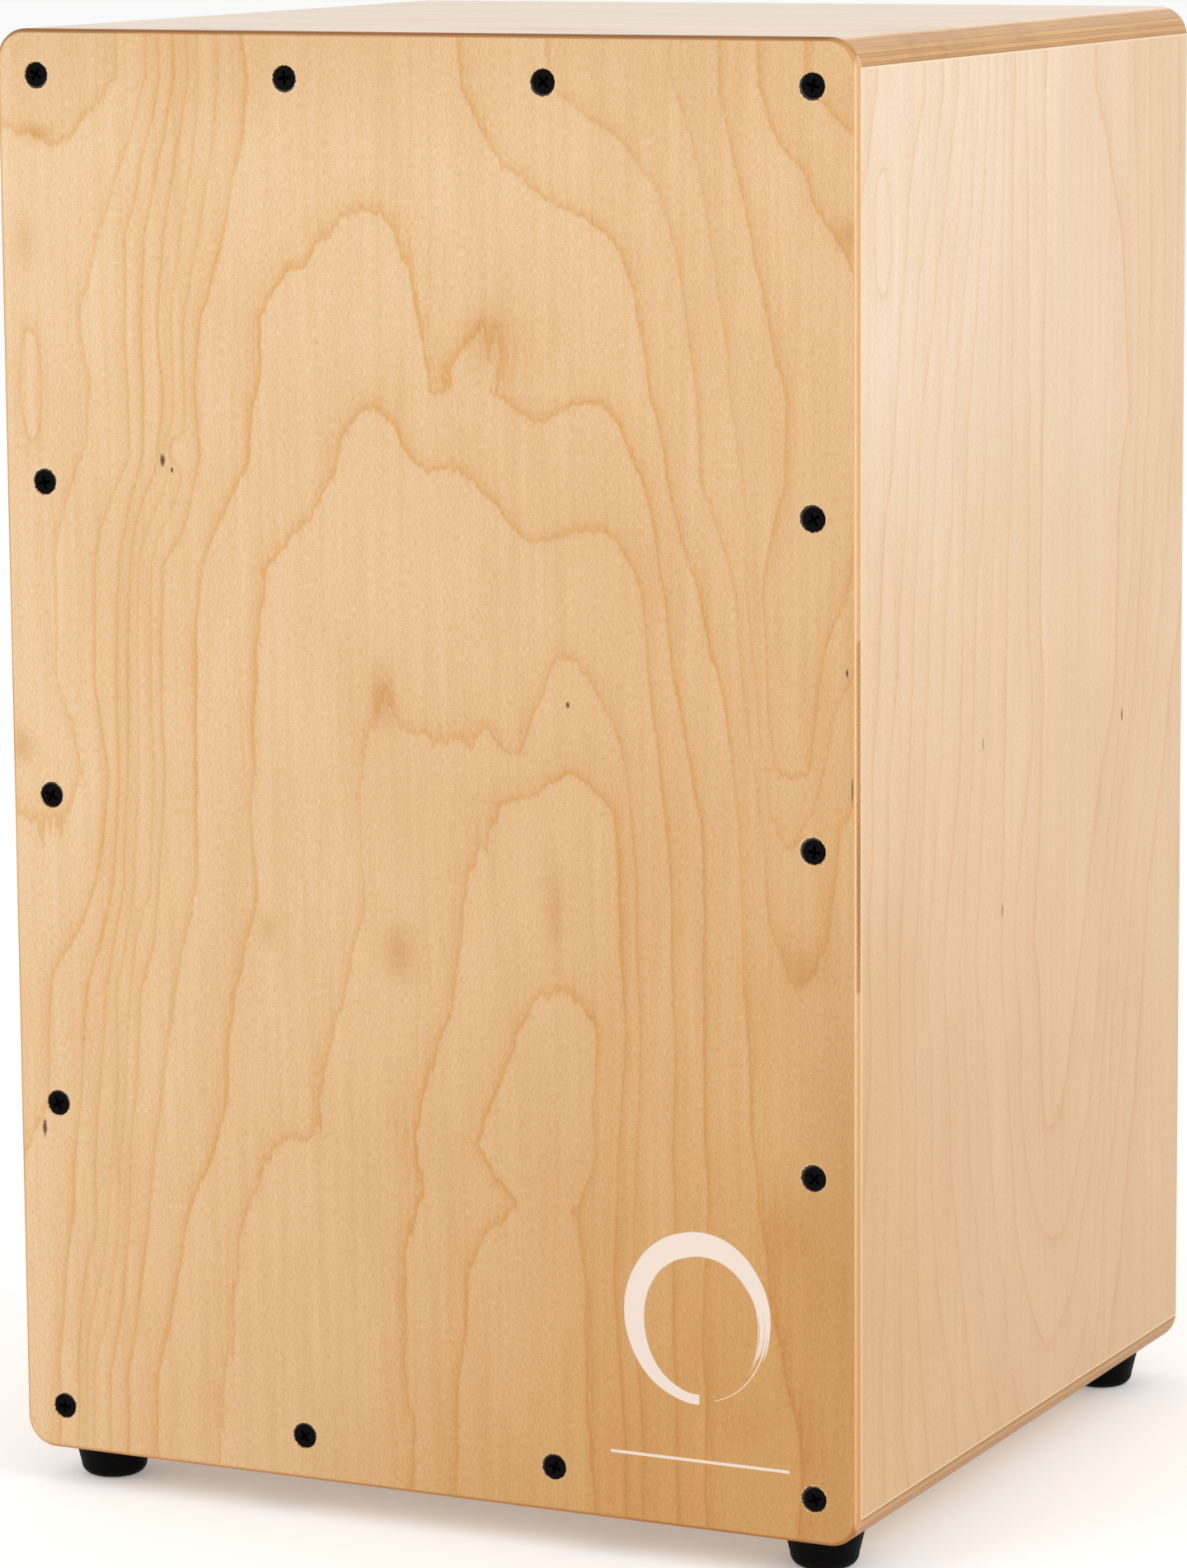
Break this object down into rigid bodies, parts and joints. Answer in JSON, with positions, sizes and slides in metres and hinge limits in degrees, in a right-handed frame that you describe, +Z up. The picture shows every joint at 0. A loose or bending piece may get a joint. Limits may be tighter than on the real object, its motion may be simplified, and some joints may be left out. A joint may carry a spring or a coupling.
{
  "type": "cajon",
  "caption": "Box drum that the player sits on, with a screwed striking plate, a let-in back with a sound hole, rubber feet and steel strings drawn tight by bolts.",
  "frame": {"origin": "on the floor, under the middle of the box", "axes": "+Z up, -Y out of the striking plate, +X to the right of someone who looks at the striking plate"},
  "size_m": [0.3, 0.285, 0.48],
  "materials": {
    "tapa_veneer": "satin lacquered birch veneer",
    "shell_ply": "satin lacquered birch plywood",
    "back_ply": "satin lacquered birch plywood",
    "batten_wood": "sawn and sanded softwood",
    "black_screw": "black phosphated steel",
    "foot_rubber": "moulded black rubber",
    "zinc_washer": "zinc plated",
    "string_steel": "wound steel",
    "ball_brass": "turned brass",
    "yoke_aluminium": "milled aluminium",
    "bolt_steel": "black oxide steel",
    "pin_steel": "ground steel"
  },
  "bodies": {
    "box": {"top_panel": "shell_ply", "bottom_panel": "shell_ply", "left_panel": "shell_ply", "right_panel": "shell_ply", "tapa": "tapa_veneer", "back_panel": "back_ply", "front_left_stile": "batten_wood", "front_right_stile": "batten_wood", "front_top_rail": "batten_wood", "front_bottom_rail": "batten_wood", "rear_left_stile": "batten_wood", "rear_right_stile": "batten_wood", "rear_top_rail": "batten_wood", "rear_bottom_rail": "batten_wood", "tapa_screws": "black_screw", "back_panel_screws": "black_screw", "foot_screws": "black_screw", "foot_washers": "zinc_washer", "bolt_washers": "zinc_washer", "front_left_foot": "foot_rubber", "front_right_foot": "foot_rubber", "rear_left_foot": "foot_rubber", "rear_right_foot": "foot_rubber", "string_left_outer": "string_steel", "string_left_inner": "string_steel", "string_right_outer": "string_steel", "string_right_inner": "string_steel", "upper_ball_ends": "ball_brass", "guide_pins": "pin_steel"},
    "left_bolt": {"left_tension_bolt": "bolt_steel"},
    "right_bolt": {"right_tension_bolt": "bolt_steel"},
    "left_slider": {"left_yoke": "yoke_aluminium", "left_ball_ends": "ball_brass"},
    "right_slider": {"right_yoke": "yoke_aluminium", "right_ball_ends": "ball_brass"}
  },
  "joints": [
    {"name": "left_yoke_slide", "type": "slide", "parent": "box", "child": "left_slider", "axis": [0, 0, -1], "range_m": [0, 0.003]},
    {"name": "right_yoke_slide", "type": "slide", "parent": "box", "child": "right_slider", "axis": [0, 0, -1], "range_m": [0, 0.003]},
    {"name": "left_bolt_turn", "type": "hinge", "parent": "box", "child": "left_bolt", "pos_m": [-0.06, -0.132, 0.0125], "axis": [0, 0, 1], "range_deg": [0, 1350]},
    {"name": "right_bolt_turn", "type": "hinge", "parent": "box", "child": "right_bolt", "pos_m": [0.06, -0.132, 0.0125], "axis": [0, 0, 1], "range_deg": [0, 1350]}
  ],
  "couplings": [
    {"joint": "left_bolt_turn", "follows": "left_yoke_slide", "rad_per_m": 7854},
    {"joint": "right_bolt_turn", "follows": "right_yoke_slide", "rad_per_m": 7854}
  ]
}
